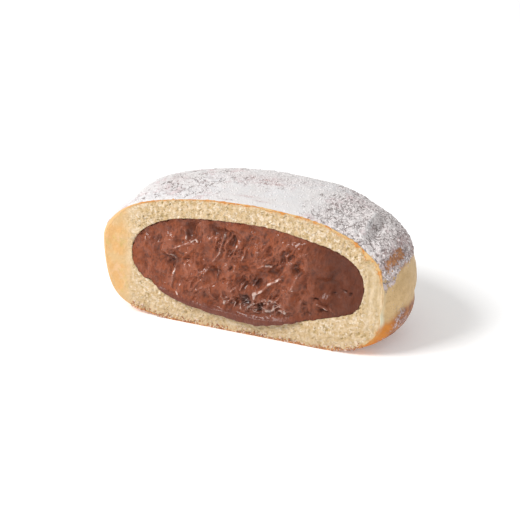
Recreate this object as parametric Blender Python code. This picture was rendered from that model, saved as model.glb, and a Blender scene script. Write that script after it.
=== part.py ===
"""Half of a cream-filled doughnut, cut open: a domed dough shell and the cream that fills it.

Metres, +Z up.  The base lies on z = 0, the cut faces -Y, and the origin is under the middle.
"""
import math

import bmesh
import bpy
from mathutils import Vector, noise

NAME = "cream_filled_doughnut"

# The whole doughnut, before the cut: oval from above, domed on top, flat underneath.
HALF_WIDTH = 0.0450
HALF_DEPTH = 0.0303
GIRTH_HEIGHT = 0.0220        # the widest level, above the table
CROWN_RISE = 0.0168          # from the widest level up to the crown
BELLY_DROP = 0.0223          # the belly's own depth, which the table cuts off flat
CROWN_POWERS = (3.2, 1.9)    # how square the crown is, sideways and upwards
BELLY_POWERS = (6.0, 4.3)

# The skin's unevenness.  Places are measured from the middle of the girth.
LUMP_SIZE = 0.016
LUMP_HEIGHT = 0.0005
WRINKLE_SIZE = 0.0065        # on the right end of the crown only
WRINKLE_HEIGHT = 0.0004
SAG_PLACE = (-0.020, -0.008)  # the left of the crown, which hangs a little lower
SAG_DEPTH = 0.0008
SHOULDER_DENT = 0.0018       # and the skin behind it, round the left end
SHOULDER_LEVEL = 0.0090
FOLD_RIDGE = (0.0335, 0.0018, 0.0007)    # place along x, spread and height
FOLD_VALLEY = (0.0365, 0.0026, -0.0010)
FOLD_MIDDLE_Y = -0.002
FOLD_LENGTH = 0.007
LEFT_BULGE = 0.0006
RIGHT_FALL = 0.0005          # the right of the crown slopes off behind the cut
RIGHT_SWELL = 0.0004         # and the belly swells under it
RIGHT_SWELL_LEVEL = -0.0140
BELT_GROOVES = ((0.0010, 0.0004), (-0.0085, 0.0005))    # level and depth of each
GROOVE_SPREAD = 0.0020

# The knife passes in front of the widest section, so the shell swells behind the cut.
CUT_FORWARD = 0.0123
CRUMB_RELIEF = 0.0003
CRUMB_LUMP_SIZE = 0.0055

# The cream, widest at the cut and rounded off inside.
CREAM_OFFSET = 0.0012        # right of the middle
CREAM_LEVEL = 0.0195
CREAM_HALF_WIDTH = 0.0340
CREAM_HALF_DEPTH = 0.0330
CREAM_HALF_HEIGHT = 0.0133
CREAM_POWER = 2.3
CREAM_WOBBLE = 0.0006
CREAM_WOBBLE_SIZE = 0.013
CREAM_GAP = 0.0003           # clear space between the cream and the crumb

# The torn face of the cream: sizes of its lumps, each with its share of the relief.
TORN_RELIEF = 0.0016
TORN_LUMPS = ((0.0085, 1.0), (0.0042, 0.8), (0.0023, 0.5))
RIM_START = 0.75             # share of the way out where the face calms down
RIM_CALM = 0.7
UPPER_EDGE_SINK = 0.0006

# The lip of cream that the knife dragged down over the crumb.
LIP_START = math.radians(-132)
LIP_END = math.radians(-58)
LIP_RADIUS = 0.0011
LIP_FLATNESS = 0.7           # its depth against its radius
LIP_BREADTH = 1.4            # its height against its radius
LIP_DROP = 0.0002
LIP_FORWARD = 0.0013         # its middle, in front of the cut
LIP_SWELL = 0.0014           # the cream swells forward to meet it
LIP_FADE = 0.25
LIP_SEGMENTS = 40
LIP_SIDES = 10

# How finely each surface is divided.
SKIN_DIVISIONS = 25
CREAM_DIVISIONS = 13
CRUMB_STEP = 0.0030
TORN_STEP = 0.0014

# The block that stands for what the knife took away.
BLOCK_MARGIN = 0.005
BLOCK_DEPTH = 0.045

# The middle of the whole doughnut, set so that the half stands over the origin.
FRONT = CUT_FORWARD + LIP_FORWARD + LIP_RADIUS * LIP_FLATNESS
MIDDLE = Vector((0, (FRONT - HALF_DEPTH) / 2, GIRTH_HEIGHT))
CUT_Y = MIDDLE.y - CUT_FORWARD
CREAM_MIDDLE = Vector((CREAM_OFFSET, CUT_Y, CREAM_LEVEL))

DOUGH_COLOUR = (0.72, 0.52, 0.29, 1)
CREAM_COLOUR = (0.27, 0.10, 0.06, 1)


def clear_scene():
    for item in list(bpy.data.objects):
        bpy.data.objects.remove(item, do_unlink=True)


def make_collection(name):
    collection = bpy.data.collections.new(name)
    bpy.context.scene.collection.children.link(collection)
    return collection


def make_material(name, colour, roughness):
    material = bpy.data.materials.new(name)
    material.use_nodes = True
    shader = material.node_tree.nodes["Principled BSDF"]
    shader.inputs["Base Color"].default_value = colour
    shader.inputs["Roughness"].default_value = roughness
    shader.inputs["Metallic"].default_value = 0.0
    return material


def make_object(name, form, collection, material=None):
    """A named object from a bmesh.  Without a material it is a cutter."""
    bmesh.ops.triangulate(form, faces=form.faces)    # flat facets cut cleanly
    mesh = bpy.data.meshes.new(name)
    form.to_mesh(mesh)
    form.free()
    mesh.shade_smooth()
    item = bpy.data.objects.new(name, mesh)
    collection.objects.link(item)
    if material:
        mesh.materials.append(material)
    else:
        item.hide_render = True
        item.display_type = "WIRE"
    return item


def add_boolean(item, tool, operation):
    boolean = item.modifiers.new(operation.lower() + " " + tool.name, "BOOLEAN")
    boolean.operation = operation
    boolean.solver = "EXACT"
    boolean.object = tool


def bump(value, middle, spread):
    """A smooth hill of height 1 round a middle."""
    return math.exp(-((value - middle) / spread) ** 2)


def ease(value, low, high):
    """0 below low, 1 above high, smooth between."""
    share = min(max((value - low) / (high - low), 0), 1)
    return share * share * (3 - 2 * share)


def lumps(point, size, seed):
    """Smooth random relief between about -1 and 1, with hills of about the given size."""
    return noise.noise(point / size + Vector(seed))


def divided_ball(divisions):
    """A ball of radius 1 from a divided cube, so its faces are all of about one size."""
    ball = bmesh.new()
    bmesh.ops.create_cube(ball, size=2)
    bmesh.ops.subdivide_edges(ball, edges=ball.edges, cuts=divisions - 1, use_grid_fill=True)
    for vertex in ball.verts:
        spread = Vector([math.tan(side * math.pi / 4) for side in vertex.co])
        vertex.co = spread.normalized()
    return ball


def reach(direction, half_sizes, powers):
    """How far a direction runs from the middle to a rounded form's surface."""
    flat = math.hypot(direction.x / half_sizes.x, direction.y / half_sizes.y)
    rise = abs(direction.z) / half_sizes.z
    low = 0.0
    high = 1 / max(flat, rise)
    for _ in range(40):
        middle = (low + high) / 2
        if (middle * flat) ** powers[0] + (middle * rise) ** powers[1] < 1:
            low = middle
        else:
            high = middle
    return high


def skin_relief(point):
    """How far the skin stands out from its plain rounded form."""
    x, y, z = point
    crown = ease(z, 0.002, 0.010)
    unevenness = LUMP_HEIGHT * lumps(point, LUMP_SIZE, (3, 1, 7))
    wrinkles = WRINKLE_HEIGHT * lumps(point, WRINKLE_SIZE, (9, 4, 2)) * ease(x, 0.008, 0.024)
    sag = -SAG_DEPTH * bump(x, SAG_PLACE[0], 0.016) * bump(y, SAG_PLACE[1], 0.008)
    behind_cut = ease(y, -CUT_FORWARD, -0.0080) * (1 - ease(y, 0.002, 0.016))
    dent = -SHOULDER_DENT * ease(-x, 0.030, 0.041) * bump(z, SHOULDER_LEVEL, 0.0055) * behind_cut
    fold = 0
    for place, spread, height in (FOLD_RIDGE, FOLD_VALLEY):
        fold += height * bump(x, place, spread) * bump(y, FOLD_MIDDLE_Y, FOLD_LENGTH)
    left_bulge = LEFT_BULGE * ease(-x, 0.030, 0.042) * bump(z, -0.003, 0.008)
    fall = -RIGHT_FALL * ease(x, 0.016, 0.030) * ease(z, -0.005, 0.004) * ease(y, -0.0100, -0.0020)
    swell = RIGHT_SWELL * ease(x, 0.024, 0.038) * bump(z, RIGHT_SWELL_LEVEL, 0.009)
    swell *= ease(y, -CUT_FORWARD, -0.0095)
    side =ease(math.hypot(x / HALF_WIDTH, y / HALF_DEPTH), 0.80, 0.95)
    calm_left_end = ease(x + 2 * y, -0.060, -0.030)
    belt = 0
    for level, depth in BELT_GROOVES:
        belt -= depth * bump(z, level, GROOVE_SPREAD) * side * calm_left_end
    return unevenness + crown * (wrinkles + sag + fold) + dent + left_bulge + fall + swell + belt


def model_whole_dough():
    """The whole doughnut's outer form, flat where it rests."""
    ball = divided_ball(SKIN_DIVISIONS)
    for vertex in ball.verts:
        direction = vertex.co.normalized()
        upper = direction.z > 0
        half_sizes = Vector((HALF_WIDTH, HALF_DEPTH, CROWN_RISE if upper else BELLY_DROP))
        point = direction * reach(direction, half_sizes, CROWN_POWERS if upper else BELLY_POWERS)
        point = point + direction * skin_relief(point)
        if point.z < -GIRTH_HEIGHT:
            point = point * (GIRTH_HEIGHT / -point.z)
        vertex.co = point + MIDDLE
    return ball


def cream_reach(direction):
    half_sizes = Vector((CREAM_HALF_WIDTH, CREAM_HALF_DEPTH, CREAM_HALF_HEIGHT))
    return reach(direction, half_sizes, (CREAM_POWER, CREAM_POWER))


def model_cream_form(gap):
    """The cream's rounded form round its middle, with a slightly uneven outline."""
    ball = divided_ball(CREAM_DIVISIONS)
    for vertex in ball.verts:
        x, y, z = vertex.co
        direction = Vector((x * CREAM_HALF_WIDTH, y * CREAM_HALF_DEPTH, z * CREAM_HALF_HEIGHT))
        direction.normalize()
        point = direction * cream_reach(direction)
        wobble = CREAM_WOBBLE * lumps(point, CREAM_WOBBLE_SIZE, (5, 0, 1))
        vertex.co = point + direction * (wobble + gap) + CREAM_MIDDLE
    return ball


def torn_relief(x, z):
    """How far the cream stands out of the cut."""
    place = Vector((x, 0, z))
    torn = 0
    for number, (size, share) in enumerate(TORN_LUMPS):
        torn += share * lumps(place, size, (2 + 3 * number, 8, 5 - number))
    across = (x - CREAM_MIDDLE.x) / CREAM_HALF_WIDTH
    up = (z - CREAM_MIDDLE.z) / CREAM_HALF_HEIGHT
    rim = ease(math.hypot(across, up), RIM_START, 1.0)
    sink = UPPER_EDGE_SINK * rim * ease(up, -0.2, 0.5)
    angle = math.atan2(up, across)
    after_start = ease(angle, LIP_START - LIP_FADE, LIP_START)
    before_end = 1 - ease(angle, LIP_END, LIP_END + LIP_FADE)
    swell = LIP_SWELL * rim * after_start * before_end
    return TORN_RELIEF * torn * (1 - RIM_CALM * rim) - sink + swell


def crumb_relief(x, z):
    """How far the crumb stands out of the cut."""
    return CRUMB_RELIEF * lumps(Vector((x, 0, z)), CRUMB_LUMP_SIZE, (1, 1, 4))


def model_knife_block(step, relief):
    """A block in front of the cut, whose back face leaves the given relief."""
    half_width = HALF_WIDTH + BLOCK_MARGIN
    height = GIRTH_HEIGHT + CROWN_RISE + 2 * BLOCK_MARGIN
    block = bmesh.new()
    bmesh.ops.create_grid(
        block, x_segments=round(2 * half_width / step), y_segments=round(height / step), size=1
    )
    for vertex in block.verts:
        x = vertex.co.x * half_width
        z = (vertex.co.y + 1) * height / 2 - BLOCK_MARGIN
        vertex.co = Vector((x, CUT_Y - relief(x, z), z))
    back = list(block.faces)
    extruded = bmesh.ops.extrude_face_region(block, geom=back, use_keep_orig=True)
    for part in extruded["geom"]:
        if isinstance(part, bmesh.types.BMVert):
            part.co.y = CUT_Y - BLOCK_DEPTH
    bmesh.ops.recalc_face_normals(block, faces=block.faces)
    return block


def model_lip():
    """A bead of cream that follows the lower edge of the cut, thin at both ends."""
    bead = bmesh.new()
    bmesh.ops.create_cone(
        bead, cap_ends=True, segments=LIP_SIDES, radius1=1, radius2=1, depth=1
    )
    lengthwise = [edge for edge in bead.edges if edge.verts[0].co.z * edge.verts[1].co.z < 0]
    bmesh.ops.subdivide_edges(bead, edges=lengthwise, cuts=LIP_SEGMENTS - 1)
    for vertex in bead.verts:
        share = vertex.co.z + 0.5
        angle = LIP_START + share * (LIP_END - LIP_START)
        edge = Vector((math.cos(angle) * CREAM_HALF_WIDTH, 0, math.sin(angle) * CREAM_HALF_HEIGHT))
        edge.normalize()
        edge *= cream_reach(edge)
        outward = Vector((math.cos(angle) / CREAM_HALF_WIDTH, 0, math.sin(angle) / CREAM_HALF_HEIGHT))
        outward.normalize()
        taper = 0.30 + 0.70 * math.sin(math.pi * share)
        radius = LIP_RADIUS * taper
        drop = LIP_DROP * taper + vertex.co.x * radius * LIP_BREADTH
        forward = LIP_FORWARD + vertex.co.y * radius * LIP_FLATNESS
        vertex.co = CREAM_MIDDLE + edge + outward * drop + Vector((0, -forward, 0))
    bmesh.ops.recalc_face_normals(bead, faces=bead.faces)
    return bead


def build():
    clear_scene()
    parts = make_collection(NAME)
    cutters = make_collection(NAME + "_cutters")
    dough_material = make_material("dough", DOUGH_COLOUR, 0.85)
    cream_material = make_material("cream", CREAM_COLOUR, 0.35)

    dough = make_object("dough", model_whole_dough(), parts, dough_material)
    crumb_knife = make_object("crumb_knife", model_knife_block(CRUMB_STEP, crumb_relief), cutters)
    cavity = make_object("cavity", model_cream_form(CREAM_GAP), cutters)
    add_boolean(dough, crumb_knife, "DIFFERENCE")
    add_boolean(dough, cavity, "DIFFERENCE")

    cream = make_object("cream_filling", model_cream_form(0), parts, cream_material)
    cream_knife = make_object("cream_knife", model_knife_block(TORN_STEP, torn_relief), cutters)
    lip = make_object("lip", model_lip(), cutters)
    add_boolean(cream, cream_knife, "DIFFERENCE")
    add_boolean(cream, lip, "UNION")


build()
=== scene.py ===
import math
import random

import bmesh
import bpy
from mathutils import Matrix, Vector, noise


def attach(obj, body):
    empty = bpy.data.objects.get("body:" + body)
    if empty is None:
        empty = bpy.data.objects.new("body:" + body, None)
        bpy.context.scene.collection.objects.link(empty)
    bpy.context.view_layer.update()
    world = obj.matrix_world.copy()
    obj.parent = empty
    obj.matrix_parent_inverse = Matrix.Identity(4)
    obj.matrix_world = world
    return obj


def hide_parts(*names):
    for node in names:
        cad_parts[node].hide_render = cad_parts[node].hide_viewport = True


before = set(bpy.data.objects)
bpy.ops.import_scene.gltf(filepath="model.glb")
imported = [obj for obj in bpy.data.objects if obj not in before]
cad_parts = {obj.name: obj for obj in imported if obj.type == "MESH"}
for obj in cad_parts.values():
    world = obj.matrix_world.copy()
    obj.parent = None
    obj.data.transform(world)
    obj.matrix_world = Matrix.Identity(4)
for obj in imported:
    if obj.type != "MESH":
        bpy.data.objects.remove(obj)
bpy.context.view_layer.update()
print("packed model loaded")


# the doughnut's plain form, in metres
shape = {
    "halfWidth": 0.0450,
    "halfDepth": 0.0303,
    "girthHeight": 0.0220,      # the widest level
    "crownRise": 0.0168,
    "bellyDrop": 0.0223,
    "crownPowers": (3.2, 1.9),
    "bellyPowers": (6.0, 4.3),
    "middleY": -0.007965,
    "cutForward": 0.0123,
}
middle = Vector((0, shape["middleY"], shape["girthHeight"]))
cutY = middle.y - shape["cutForward"]


def bump(value, top, spread):
    return math.exp(-((value - top) / spread) ** 2)


def ease(value, low, high):
    share = min(max((value - low) / (high - low), 0), 1)
    return share * share * (3 - 2 * share)


def blend(share, first, second):
    return first + (second - first) * share


# soft random hills of about the given size, between -1 and 1
def lumps(point, size, seed):
    return noise.noise(point / size + Vector(seed))


# round clumps with creases between them, 1 on top
def clumps(point, size, seed):
    near = noise.voronoi(point / size + Vector(seed))[0][0]
    return max(1 - 1.5 * near * near, 0)


# an oval patch seen from above or from the front, places in millimetres
def spot(x, y, patch):
    return bump(x, patch[0], patch[2]) * bump(y, patch[1], patch[3])


def reach(direction, halfSizes, powers):
    flat = math.hypot(direction.x / halfSizes[0], direction.y / halfSizes[1])
    rise = abs(direction.z) / halfSizes[2]
    low, high = 0.0, 1 / max(flat, rise)
    for _ in range(26):
        half = (low + high) / 2
        if (half * flat) ** powers[0] + (half * rise) ** powers[1] < 1:
            low = half
        else:
            high = half
    return high


# the skin's large unevenness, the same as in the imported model
def skinRelief(point):
    x, y, z = point
    crown = ease(z, 0.002, 0.010)
    uneven = 0.0005 * lumps(point, 0.016, (3, 1, 7))
    wrinkles = 0.0004 * lumps(point, 0.0065, (9, 4, 2)) * ease(x, 0.008, 0.024)
    sag = -0.0008 * bump(x, -0.020, 0.016) * bump(y, -0.008, 0.008)
    behindCut = ease(y, -shape["cutForward"], -0.0080) * (1 - ease(y, 0.002, 0.016))
    dent = -0.0018 * ease(-x, 0.030, 0.041) * bump(z, 0.0090, 0.0055) * behindCut
    fold = (0.0007 * bump(x, 0.0335, 0.0018) - 0.0010 * bump(x, 0.0365, 0.0026)) * bump(y, -0.002, 0.007)
    bulge = 0.0006 * ease(-x, 0.030, 0.042) * bump(z, -0.003, 0.008)
    fall = -0.0005 * ease(x, 0.016, 0.030) * ease(z, -0.005, 0.004) * ease(y, -0.0100, -0.0020)
    swell = 0.0004 * ease(x, 0.024, 0.038) * bump(z, -0.0140, 0.009) * ease(y, -shape["cutForward"], -0.0095)
    side = ease(math.hypot(x / shape["halfWidth"], y / shape["halfDepth"]), 0.80, 0.95)
    side *= ease(x + 2 * y, -0.060, -0.030)
    belt = -side * (0.0004 * bump(z, 0.0010, 0.0020) + 0.0005 * bump(z, -0.0085, 0.0020))
    return uneven + crown * (wrinkles + sag + fold) + dent + bulge + fall + swell + belt


# a point of the skin and the way it faces, both about the doughnut's middle
def skinPoint(direction):
    upper = direction.z > 0
    halfSizes = (shape["halfWidth"], shape["halfDepth"], shape["crownRise"] if upper else shape["bellyDrop"])
    powers = shape["crownPowers"] if upper else shape["bellyPowers"]
    point = direction * reach(direction, halfSizes, powers)
    flat = math.hypot(point.x / halfSizes[0], point.y / halfSizes[1])
    rise = abs(point.z) / halfSizes[2]
    across = powers[0] * flat ** (powers[0] - 2) if flat > 1e-6 else 0
    facing = Vector((
        across * point.x / halfSizes[0] ** 2,
        across * point.y / halfSizes[1] ** 2,
        math.copysign(powers[1] * rise ** (powers[1] - 1) / halfSizes[2], point.z),
    ))
    point = point + direction * skinRelief(point)
    if point.z < -shape["girthHeight"]:
        point = point * (shape["girthHeight"] / -point.z)
        facing = Vector((0, 0, -1))
    return point, facing.normalized()


def slant(angle, tilt):
    return Vector((math.sin(tilt) * math.cos(angle), math.cos(tilt), math.sin(tilt) * math.sin(angle)))


# how far a half plane at this angle opens, from the back, until the skin reaches a level of y
def tiltAt(angle, level):
    low, high = 0.3, 2.6
    for _ in range(24):
        half = (low + high) / 2
        if skinPoint(slant(angle, half))[0].y > level:
            low = half
        else:
            high = half
    return half


# even steps along a line of summed lengths: the stretch that each falls in, and how far along it
def evenSteps(lengths, count):
    slot = 0
    for number in range(count):
        target = lengths[-1] * number / count
        while lengths[slot + 1] < target:
            slot += 1
        yield slot, (target - lengths[slot]) / (lengths[slot + 1] - lengths[slot])


# angles that divide a closed outline into even steps, or finer ones above its middle
def evenAngles(outline, count, finer=1):
    fine = 900
    points = [outline(math.tau * number / fine) for number in range(fine + 1)]
    lengths = [0.0]
    for first, second in zip(points, points[1:]):
        step = (second - first).length
        lengths.append(lengths[-1] + step * blend(ease(first.z, -0.003, 0.003), 1, finer))
    return [math.tau * (slot + share) / fine for slot, share in evenSteps(lengths, count)]


# a closed ring divided anew into even steps
def evenRing(ring, count):
    lengths = [0.0]
    for number, point in enumerate(ring):
        lengths.append(lengths[-1] + (ring[(number + 1) % len(ring)] - point).length)
    return [ring[slot].lerp(ring[(slot + 1) % len(ring)], share) for slot, share in evenSteps(lengths, count)]


# the outward directions of a closed ring in x and z
def outwardWays(ring):
    ways = []
    for number, point in enumerate(ring):
        along = ring[(number + 3) % len(ring)] - ring[number - 3]
        ways.append(Vector((along.z, 0, -along.x)).normalized())
    return ways


# a grid rolled into a closed skin: its columns go once round, and the ends come together
def rollGrid(columns, rows, layers, place):
    sheet = bmesh.new()
    bmesh.ops.create_grid(sheet, x_segments=columns, y_segments=rows, size=1)
    marks = [sheet.verts.layers.float.new(layer) for layer in layers]
    for vertex in sheet.verts:
        column = round((vertex.co.x + 1) / 2 * columns) % columns
        row = round((vertex.co.y + 1) / 2 * rows)
        point, values = place(column, row)
        vertex.co = point
        for mark, value in zip(marks, values):
            vertex[mark] = value
    bmesh.ops.remove_doubles(sheet, verts=sheet.verts, dist=1e-8)
    bmesh.ops.recalc_face_normals(sheet, faces=sheet.faces)
    return sheet


def addObject(name, data):
    made = bpy.data.objects.new(name, data)
    bpy.context.scene.collection.objects.link(made)
    return made


def finishPiece(name, form, material, node):
    mesh = bpy.data.meshes.new(name)
    form.to_mesh(mesh)
    form.free()
    mesh.shade_smooth()
    mesh.materials.append(material)
    piece = addObject(name, mesh)
    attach(piece, "root")
    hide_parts(node)
    print(name, len(mesh.polygons), "faces")


# links and plain values into the inputs of a node
def fillInputs(tree, made, inputs):
    for socket, value in inputs.items():
        if isinstance(value, bpy.types.NodeSocket):
            tree.links.new(value, made.inputs[socket])
        else:
            made.inputs[socket].default_value = value


def addNode(tree, kind, inputs=None, **settings):
    made = tree.nodes.new(kind)
    made.location = (len(tree.nodes) % 9 * 200, -(len(tree.nodes) // 9) * 300)
    for key, value in settings.items():
        setattr(made, key, value)
    fillInputs(tree, made, inputs or {})
    return made


def objectCoords(tree, stretch=(1, 1, 1)):
    coords = addNode(tree, "ShaderNodeTexCoord").outputs["Object"]
    return addNode(tree, "ShaderNodeMapping", {"Vector": coords, "Scale": stretch}).outputs["Vector"]


def noiseOut(tree, coords, scale, detail=3.0, roughness=0.55):
    made = addNode(tree, "ShaderNodeTexNoise", {
        "Vector": coords, "Scale": scale, "Detail": detail, "Roughness": roughness})
    return made.outputs["Fac"]


def mathOut(tree, operation, first, second=0.0, clamp=False):
    made = addNode(tree, "ShaderNodeMath", {0: first, 1: second}, operation=operation, use_clamp=clamp)
    return made.outputs[0]


def timesOut(tree, first, second):
    return mathOut(tree, "MULTIPLY", first, second)


def rangeOut(tree, value, low, high, bottom=0.0, top=1.0):
    return addNode(tree, "ShaderNodeMapRange", {
        "Value": value, "From Min": low, "From Max": high, "To Min": bottom, "To Max": top,
    }, interpolation_type="SMOOTHSTEP").outputs["Result"]


def mixOut(tree, share, first, second):
    return addNode(tree, "ShaderNodeMix", {0: share, 6: first, 7: second}, data_type="RGBA").outputs[2]


def bumpOut(tree, height, strength, distance):
    made = addNode(tree, "ShaderNodeBump", {"Height": height, "Strength": strength, "Distance": distance})
    return made.outputs["Normal"]


def markOut(tree, name):
    return addNode(tree, "ShaderNodeAttribute", attribute_name=name).outputs["Fac"]


def newMaterial(name):
    material = bpy.data.materials.new(name)
    material.use_nodes = True
    tree = material.node_tree
    return material, tree, tree.nodes["Principled BSDF"]


def newGroup(name, inputs, outputs):
    group = bpy.data.node_groups.new(name, "ShaderNodeTree")
    for label, kind, value in inputs:
        group.interface.new_socket(label, in_out="INPUT", socket_type=kind).default_value = value
    for label, kind in outputs:
        group.interface.new_socket(label, in_out="OUTPUT", socket_type=kind)
    return group, group.nodes.new("NodeGroupInput"), group.nodes.new("NodeGroupOutput")


def useGroup(tree, group, inputs):
    return addNode(tree, "ShaderNodeGroup", inputs, node_tree=group).outputs


# dust that breaks into specks where it lies thin
dustGroup, groupIn, groupOut = newGroup(
    "dustSpecks",
    [("Cover", "NodeSocketFloat", 0.5), ("Scale", "NodeSocketFloat", 2000.0),
     ("Break", "NodeSocketFloat", 0.6), ("Sharpness", "NodeSocketFloat", 0.16)],
    [("Mask", "NodeSocketFloat"), ("Height", "NodeSocketFloat")],
)
specks = noiseOut(dustGroup, objectCoords(dustGroup), groupIn.outputs["Scale"], 2.5, 0.6)
broken = timesOut(dustGroup, mathOut(dustGroup, "SUBTRACT", specks, 0.5), groupIn.outputs["Break"])
level = mathOut(dustGroup, "ADD", groupIn.outputs["Cover"], broken)
low = mathOut(dustGroup, "SUBTRACT", 0.5, groupIn.outputs["Sharpness"])
high = mathOut(dustGroup, "ADD", 0.5, groupIn.outputs["Sharpness"])
dustGroup.links.new(rangeOut(dustGroup, level, low, high), groupOut.inputs["Mask"])
dustGroup.links.new(specks, groupOut.inputs["Height"])

# soft uneven colour, two tones in patches
mottleGroup, groupIn, groupOut = newGroup(
    "bakedMottle",
    [("First", "NodeSocketColor", (0.8, 0.6, 0.4, 1)), ("Second", "NodeSocketColor", (0.7, 0.5, 0.3, 1)),
     ("Scale", "NodeSocketFloat", 300.0),
     ("Low", "NodeSocketFloat", 0.35), ("High", "NodeSocketFloat", 0.65)],
    [("Color", "NodeSocketColor"), ("Mask", "NodeSocketFloat")],
)
patches = noiseOut(mottleGroup, objectCoords(mottleGroup), groupIn.outputs["Scale"], 4.0, 0.6)
share = rangeOut(mottleGroup, patches, groupIn.outputs["Low"], groupIn.outputs["High"])
mottleGroup.links.new(
    mixOut(mottleGroup, share, groupIn.outputs["First"], groupIn.outputs["Second"]), groupOut.inputs["Color"])
mottleGroup.links.new(share, groupOut.inputs["Mask"])


def mottle(tree, first, second, scale, low=0.35, high=0.65):
    return useGroup(tree, mottleGroup, {
        "First": (*first, 1), "Second": (*second, 1), "Scale": scale, "Low": low, "High": high})["Color"]


# the dough's skin, its crust at the cut, and the hidden hollow for the cream
skin = {
    "columns": 620,
    "crownFiner": 2.2,          # how much closer the columns lie on the crown
    "skinRows": 142,
    "rowLean": 0.25,            # and the rows towards the cut
    "rimRows": 4,
    "hollowRows": 9,
    "rimRadius": 0.14,          # millimetres from here on
    "leftRimRadius": 1.0,
    "recess": 1.3,
    "sugarLevel": 22.6,         # its lower edge
    "rightLevel": 24.4,
    "tongue": 4.6,              # how much lower it hangs at the right end of the cut
    # raised sugar: x, y, half sizes, height
    "mounds": [(33.8, -16.2, 0.9, 1.8, 0.70), (33.5, -11.5, 0.8, 2.6, 0.62), (33.2, -6.5, 0.8, 2.4, 0.50),
               (35.6, -10.5, 1.0, 4.4, -0.48), (31.6, -17.4, 1.3, 1.0, 0.45), (30.2, -14.2, 1.5, 1.2, 0.34),
               (27.4, -15.8, 1.4, 1.1, 0.30), (32.4, -14.4, 0.6, 0.7, -0.55), (24.6, -9.0, 2.2, 0.9, 0.28)],
    # thin sugar: x, y, half sizes, how thin, how pink the skin shows through
    "thinPatches": [(-24.5, -12.5, 6.0, 4.2, 0.55, 0.25), (-14.5, -13.0, 3.6, 3.0, 0.50, 0.05),
                    (-24.0, -6.8, 4.0, 2.0, 0.50, 0.9), (-14.0, -5.6, 2.4, 1.0, 0.60, 0.0),
                    (-1.0, -2.4, 8.0, 3.2, 0.62, 0.9), (4.8, -4.4, 2.4, 1.0, 0.55, 0.2),
                    (0.0, -15.2, 4.2, 0.7, 0.70, 0.9), (5.0, -17.0, 3.0, 0.6, 0.60, 0.9),
                    (-4.6, -18.7, 3.0, 0.7, 0.70, 0.1), (-6.4, -12.6, 2.4, 1.0, 0.55, 0.05),
                    (9.5, 1.9, 4.0, 2.5, 0.50, 0.5), (23.0, -13.6, 3.4, 2.2, 0.40, 0.15),
                    (29.5, -9.5, 4.0, 4.0, 0.20, 0.15)],
    "rustPatch": (41.9, 27.2, 1.7, 1.9),
    # dust on the brown near the cut: y, z, half sizes, share
    "lowDust": [(-13.4, 12.0, 1.7, 1.9, 0.62), (-15.0, 8.6, 1.3, 2.2, 0.52), (-13.0, 3.6, 6.0, 1.6, 0.62)],
}

cream = {
    "offset": 0.0012, "level": 0.0195,
    "halfWidth": 0.0340, "halfDepth": 0.0330, "halfHeight": 0.0133, "power": 2.3,
    "gap": 0.0003,
}
creamMiddle = Vector((cream["offset"], cutY, cream["level"]))


# the cream's plain form about its own middle, with a slightly uneven outline
def creamPoint(direction, gap):
    halfSizes = (cream["halfWidth"], cream["halfDepth"], cream["halfHeight"])
    point = direction * reach(direction, halfSizes, (cream["power"], cream["power"]))
    return point + direction * (0.0006 * lumps(point, 0.013, (5, 0, 1)) + gap)


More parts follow.
